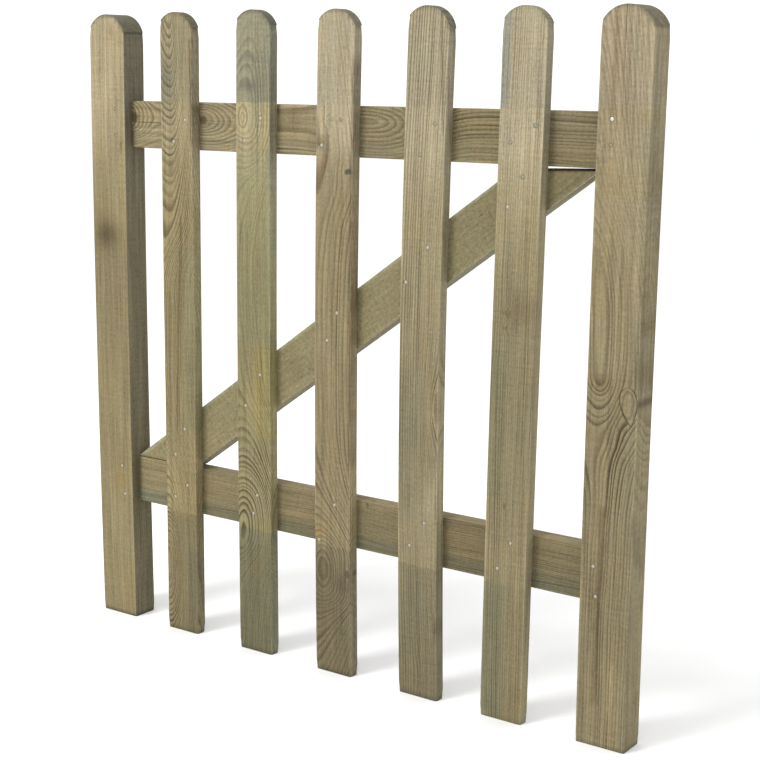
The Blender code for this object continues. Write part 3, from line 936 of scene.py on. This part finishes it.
WOODS["upper_rail"] = Wood(
    light=(178, 163, 124), dark=(96, 82, 54), ring=4.8, contrast=0.8, warm=False, side_foot=1,
    pith=(
        (0, 12, 10), (70, 12, 36), (120, 10, 22), (151, 10, 7), (215, 8, 26), (300, 14, 50), (400, 16, 44),
        (459, 15, 8), (544, 12, 30), (604, 146, 60), (680, 152, 66), (838, 150, 66),
    ),
    tone=((0, 0.96), (200, 0.92), (350, 0.87), (500, 0.75), (838, 0.68)),
    # Its side tint paints light on its top and bottom faces.
    side=(1.06, 1.02, 1.08),
    knots=(
        Knot(12, 5, 9, 9, (0.42, 0.36, 0.32)), Knot(10, 151, 7, 8, (0.46, 0.4, 0.36)),
        Knot(15, 625, 4, 5, (1.15, 1.08, 1), 0),
    ),
    stains=(
        Stain(24, 330, 30, 8, (0.86, 0.8, 0.76)), Stain(30, 300, 12, 3, (0.6, 0.54, 0.5)),
        Stain(-30, 630, 40, 5, (0.92, 0.98, 1.02)),
    ),
    zones=(
        Zone(-5, 845, (0.97, 0.99, 1), right=-12, soft=8), Zone(600, 690, (1.07, 1.07, 1)),
        Zone(740, 845, (0.92, 0.9, 0.83), right=-4, soft=8),
    ),
    streaks=(
        Streak(4, 8, 62, 0, 0.8, 0.6, CRACK_DARK), Streak(15, 640, 690, 0, 1, 0.5, (0.6, 0.52, 0.46)),
        Streak(10, 758, 830, 0, 1.1, 0.5, (0.55, 0.48, 0.42)),
        Streak(-13, 300, 372, 0, 1.8, 0.5, (1.18, 1.16, 1.12)),
    ),
)

WOODS["lower_rail"] = Wood(
    light=(166, 151, 112), dark=(112, 97, 66), ring=2.8, contrast=0.7, sway=3,
    warm=False, side_foot=1,
    pith=((0, 150, 40), (420, 156, 50), (600, 140, 60), (838, 150, 40)),
    tone=((0, 0.98), (120, 0.88), (300, 0.84), (600, 0.76), (838, 0.72)),
    # Its side tint paints light on its top and bottom faces.
    side=(1.06, 1.06, 1.12),
    stains=(Stain(33, 471, 4, 3, (0.55, 0.5, 0.46)), Stain(-30, 30, 12, 40, (0.92, 1.02, 1.1))),
    zones=(
        Zone(-5, 845, (0.8, 0.89, 0.97), right=-17, soft=7),
        Zone(90, 420, (0.9, 0.9, 0.88), right=-17, soft=7), Zone(600, 690, (0.88, 0.86, 0.84), soft=4),
    ),
    streaks=(Streak(30, 270, 380, 0, 4, 3, (0.84, 0.8, 0.78)),),
)

WOODS["brace"] = Wood(
    light=(160, 149, 110), dark=(132, 120, 84), ring=5, contrast=0.25, sway=5,
    warm=False, side_foot=1,
    pith=((0, -60, 60), (500, -60, 70), (1000, -60, 60)),
    tone=((0, 1), (300, 0.99), (550, 0.95), (780, 0.86), (900, 0.74), (1000, 0.63)),
    # Its end tint paints shade on the upper cut under the rail, over the end grain's own darker colour, and
    # its side tint paints light on its top and bottom faces.
    fibre=0.16, pits=0.34, end=(0.7, 0.58, 0.36),
    side=(1.12, 1.18, 1.3),
    stains=(
        Stain(0, 380, 20, 16, (0.84, 0.82, 0.78)), Stain(20, 560, 16, 18, (0.86, 0.88, 0.84)),
        Stain(10, 300, 18, 10, (0.94, 0.86, 0.82)),
    ),
    # The pale bluish strips along its upper and lower edges are painted highlights.
    zones=(
        Zone(-20, 1020, (1.14, 1.24, 1.4), left=32, soft=3),
        Zone(-20, 1020, (1.02, 1.03, 1.1), right=-32, soft=3),
    ),
)


# ---------------- the boards and nails

BARS = ("upper_rail", "lower_rail", "brace")

# How each kind of nail head looks: (dark colour, light colour, roughness).
METALS = {
    "bright": ((0.38, 0.37, 0.33, 1), (0.62, 0.60, 0.54, 1), 0.45),
    "plain": ((0.25, 0.235, 0.195, 1), (0.40, 0.38, 0.32, 1), 0.5),
    "dull": ((0.15, 0.16, 0.115, 1), (0.25, 0.255, 0.19, 1), 0.6),
    "stained": ((0.20, 0.165, 0.09, 1), (0.29, 0.245, 0.145, 1), 0.75),
}
# The nails that don't look plain.
NAIL_METALS = {
    "nail_latch_stile_upper_rail_a": "bright",
    "nail_latch_stile_upper_rail_b": "stained",
    "nail_hinge_stile_upper_rail_a": "stained",
    "nail_hinge_stile_upper_rail_b": "stained",
    "nail_picket_3_upper_rail_a": "stained",
    "nail_picket_4_upper_rail_a": "dull",
    "nail_picket_4_upper_rail_b": "dull",
    "nail_picket_5_upper_rail_a": "dull",
    "nail_picket_5_upper_rail_b": "dull",
    "nail_picket_5_brace_a": "dull",
}


def upright_outline(u):
    """The (x, z) outline of a bowed upright: up the right edge, over the crown and down the left edge."""
    edges = {}
    angles = {}
    for side in (1, -1):
        top = u.shoulder[side]
        count = round(top / SLICE / 2)
        edges[side] = [(u.edge(top * i / count, side), top * i / count) for i in range(count)]
        angles[side] = math.acos((top - u.crown_z) / u.crown_radius)
    arc = []
    for i in range(CROWN_STEPS + 1):
        angle = angles[1] - (angles[1] + angles[-1]) * i / CROWN_STEPS
        x = u.crown_x + u.crown_radius * math.sin(angle)
        arc.append((x, u.crown_z + u.crown_radius * math.cos(angle)))
    return edges[1] + arc + edges[-1][::-1]


def bar_outline(node):
    """The four (x, z) corners of a straight board's body, anticlockwise, from inside its rounded edges."""
    co = points(node)
    levels = np.round(co[:, 1], 5)
    best = []
    for level in np.unique(levels):
        corners = np.unique(np.round(co[levels == level][:, [0, 2]], 5), axis=0)
        if len(corners) == 4:
            offsets = corners - corners.mean(axis=0)
            corners = corners[np.argsort(np.arctan2(offsets[:, 1], offsets[:, 0]))]
            best.append((area(corners), [tuple(corner) for corner in corners]))
    return max(best)[1]


def skewed(outline, rise):
    """The brace's outline with its upper cut raised, and its long edges left straight up to the tip."""
    foot, foot_heel, tip, heel = outline
    edge = Vector(tip) - Vector(foot_heel)
    before_tip = Vector(tip) - edge.normalized() * BRACE_TIP
    return [foot, foot_heel, tuple(before_tip), (tip[0], tip[1] + rise), (heel[0], heel[1] + rise)]


def area(corners):
    x, z = corners[:, 0], corners[:, 1]
    return abs(np.dot(x, np.roll(z, -1)) - np.dot(z, np.roll(x, -1))) / 2


def tenons(node, grow):
    """The rail's two tenons, which start inside its body, with this much added all round."""
    co = points(node)
    corners = bar_outline(node)
    bm = bmesh.new()
    for side in (-1, 1):
        tip = (co[:, 0] * side).max()
        end = co[co[:, 0] * side > tip - TENON_END]
        root = max(x * side for x, _ in corners) - OVERSHOOT - grow
        left, right = sorted((side * root, side * (tip + grow)))
        low, high = end[:, 2].min() - grow, end[:, 2].max() + grow
        outline = [(left, low), (right, low), (right, high), (left, high)]
        add_prism(bm, outline, end[:, 1].min() - grow, end[:, 1].max() + grow, outline)
    return to_object(node + "_tenons", bm)


def nails_in(board):
    return sorted(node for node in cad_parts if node.startswith("nail_") and board in node)


def nail_holes(board, uprights):
    """The room that a board's nails take, with a shallow dish round each head."""
    bm = bmesh.new()
    for node in nails_in(board):
        low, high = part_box(node)
        face = uprights["_".join(node.split("_")[1:3])].front
        head = (high.x - low.x) / 2 + GAP
        shank = (high.x - low.x) / 4 + GAP
        neck = low.y + HEAD_THICKNESS + GAP
        profile = (
            (face - OVERSHOOT, 0), (face - OVERSHOOT, DISH_RADIUS), (face, DISH_RADIUS),
            (face + DISH_DEPTH * 0.75, (DISH_RADIUS + head) / 2), (face + DISH_DEPTH, head),
            (neck, head), (neck, shank), (high.y + GAP, shank), (high.y + GAP, 0),
        )
        add_turned(bm, (low.x + high.x) / 2, (low.z + high.z) / 2, profile)
    return to_object(board + "_nail_holes", bm)


def crack(shape, across, low, high):
    """A thin wedge to cut out of an upright's front face, running up the grain."""
    bm = bmesh.new()
    rings = []
    for z in (low, high):
        x = shape.middle(z) + across
        half = CRACK_WIDTH / 2
        mouth = shape.front - OVERSHOOT
        corners = ((x - half, mouth), (x + half, mouth), (x, shape.front + CRACK_DEPTH))
        rings.append([bm.verts.new((corner[0], corner[1], z)) for corner in corners])
        bm.faces.new(rings[-1])
    for i in range(3):
        j = (i + 1) % 3
        bm.faces.new((rings[0][i], rings[0][j], rings[1][j], rings[1][i]))
    return to_object("crack", bm)


def make_board(node, shape, outlines, arris, rounded, depth, step, seed):
    """A worn board between its (front, back) outlines.  rounded says which of their edges are rounded."""
    bm = bmesh.new()
    rings = add_prism(bm, outlines[0], shape.front, shape.back, outlines[1])
    round_edges(bm, ring_edges(bm, rings, rounded), arris)
    slice_solid(bm, UP, step)
    slice_solid(bm, SIDEWAYS, step)
    wear(bm, depth, seed)
    return to_object(node + "_wood", bm)


def make_upright(node, shape, cutters, seed):
    is_picket = node.startswith("picket")
    arris = PICKET_ARRIS if is_picket else STILE_ARRIS
    outlines = [upright_outline(shape)] * 2
    obj = make_board(node, shape, outlines, arris, lambda a, b: a.z + b.z > 0, PLANED_WEAR, SLICE, seed)
    for cutter in cutters:
        combine(obj, "DIFFERENCE", cutter)
    wood = pine(node + "_pine", WOODS[node], shape.height / MM, shape.width / MM / 2, seed)
    finish_board(obj, node, shape, wood)


def rail_shape(node):
    """A rail's body: level, between the ends of its outline."""
    low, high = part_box(node)
    ends = [x for x, _ in bar_outline(node)]
    middle = (low.z + high.z) / 2
    return Bar((min(ends), middle), (max(ends), middle), high.z - low.z, low.y, high.y)


def brace_shape(node):
    """The brace: from its level foot to its tip, where the upper cut is out of square."""
    low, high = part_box(node)
    corners = sorted(bar_outline(node), key=lambda corner: corner[1])
    foot, foot_heel = [Vector((x, 0, z)) for x, z in sorted(corners[:2])]
    heel, tip = [Vector((x, 0, z)) for x, z in sorted(corners[2:])]
    along = (heel - foot).normalized()
    across = Vector((-along.z, 0, along.x))
    width = abs((foot_heel - foot).dot(across))
    start = foot - across * width / 2
    end = start + along * (tip - foot).dot(along)
    out_of_wood = (tip - heel).cross(Vector((0, high.y - low.y, 2 * BRACE_HEAD_SKEW))).normalized()
    front_tip = Vector((tip.x, low.y, tip.z - BRACE_HEAD_SKEW))
    cuts = ((foot, UP), (front_tip, -out_of_wood))
    return Bar((start.x, start.z), (end.x, end.z), width, low.y, high.y, cuts)


def make_bar(node, cutter, seed):
    outline = bar_outline(node)
    is_brace = node == "brace"
    if is_brace:
        shape = brace_shape(node)
        outlines = [skewed(outline, rise) for rise in (-BRACE_HEAD_SKEW, BRACE_HEAD_SKEW)]
        depth, step, arris = SAWN_WEAR, SLICE_ROUGH, BRACE_ARRIS
    else:
        shape = rail_shape(node)
        outlines = [outline, outline]
        depth, step, arris = PLANED_WEAR, SLICE, RAIL_ARRIS

    def runs_along(a, b):
        return abs((b - a).normalized().dot(shape.along)) > 0.9

    obj = make_board(node, shape, outlines, arris, runs_along, depth, step, seed)
    if not is_brace:
        joint = tenons(node, 0.0)
        combine(obj, "UNION", joint)
        bpy.data.objects.remove(joint)
    combine(obj, "DIFFERENCE", cutter)
    wood = pine(node + "_pine", WOODS[node], shape.length / MM, shape.width / MM / 2, seed)
    finish_board(obj, node, shape, wood)


def make_nail(node, materials):
    low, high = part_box(node)
    head = (high.x - low.x) / 2
    shank = head * SHANK_SHARE
    neck = low.y + HEAD_THICKNESS
    bm = bmesh.new()
    profile = [(low.y + depth * MM, head * share) for depth, share in HEAD_PROFILE]
    profile += [(neck + 0.2 * MM, shank * 1.15), (neck + 0.8 * MM, shank)]
    profile += [(high.y - POINT_LENGTH, shank), (high.y, 0)]
    add_turned(bm, (low.x + high.x) / 2, (low.z + high.z) / 2, profile)
    obj = to_object(node + "_steel", bm)
    finish_piece(obj, node, materials[NAIL_METALS.get(node, "plain")])


def make_gate():
    uprights = {node: Upright(node) for node in sorted(WOODS) if node not in BARS}
    mortises = [tenons(node, GAP) for node in ("upper_rail", "lower_rail")]
    holes = {node: nail_holes(node, uprights) for node in WOODS}
    latch_stile = uprights["latch_stile"]
    top_crack = crack(latch_stile, CRACK_ACROSS, CRACK_FOOT, latch_stile.height + OVERSHOOT)
    for seed, (node, shape) in enumerate(uprights.items(), start=1):
        cutters = [holes[node]] + (mortises if node.endswith("stile") else [])
        if shape is latch_stile:
            cutters.append(top_crack)
        make_upright(node, shape, cutters, seed)
    for seed, node in enumerate(BARS, start=len(uprights) + 1):
        make_bar(node, holes[node], seed)
    metals = {name: galvanised(name + "_zinc", *look) for name, look in METALS.items()}
    for node in nails_in(""):
        make_nail(node, metals)
    for tool in [*holes.values(), *mortises, top_crack]:
        bpy.data.objects.remove(tool)


make_gate()


# ---------------- floor, light and camera

def add_floor():
    bm = bmesh.new()
    bmesh.ops.create_grid(bm, x_segments=1, y_segments=1, size=FLOOR_SIZE)
    floor = to_object("floor", bm)
    g = Graph("pale_floor")
    g.shader.inputs["Base Color"].default_value = (FLOOR_GREY, FLOOR_GREY, FLOOR_GREY, 1.0)
    g.shader.inputs["Roughness"].default_value = 0.9
    g.shader.inputs["Specular IOR Level"].default_value = 0.0
    floor.data.materials.append(g.material)


def add_key_light():
    light = bpy.data.lights.new("key", "AREA")
    light.shape = "DISK"
    light.size = KEY_SIZE
    light.energy = KEY_POWER
    obj = bpy.data.objects.new("key", light)
    obj.location = KEY_PLACE
    obj.rotation_euler = (KEY_TARGET - KEY_PLACE).to_track_quat("-Z", "Y").to_euler()
    bpy.context.scene.collection.objects.link(obj)


def add_surround():
    world = bpy.data.worlds.new("studio")
    bpy.context.scene.world = world
    world.use_nodes = True
    background = world.node_tree.nodes["Background"]
    background.inputs["Color"].default_value = (1, 1, 1, 1)
    background.inputs["Strength"].default_value = SURROUND_STRENGTH


def add_camera():
    camera = bpy.data.cameras.new("camera")
    camera.sensor_width = SENSOR_WIDTH
    camera.lens = LENS
    camera.shift_x = SHIFT_X
    camera.shift_y = SHIFT_Y
    forward = Vector((
        -math.sin(CAMERA_YAW) * math.cos(CAMERA_PITCH),
        math.cos(CAMERA_YAW) * math.cos(CAMERA_PITCH),
        -math.sin(CAMERA_PITCH),
    ))
    level = Vector((math.cos(CAMERA_YAW), math.sin(CAMERA_YAW), 0))
    right = Matrix.Rotation(-CAMERA_ROLL, 3, forward) @ level
    up = right.cross(forward)
    obj = bpy.data.objects.new("camera", camera)
    obj.matrix_world = Matrix((right, up, -forward)).transposed().to_4x4()
    obj.location = CAMERA_PLACE
    bpy.context.scene.collection.objects.link(obj)
    bpy.context.scene.camera = obj


add_floor()
add_key_light()
add_surround()
add_camera()
bpy.context.scene.view_settings.view_transform = "Standard"
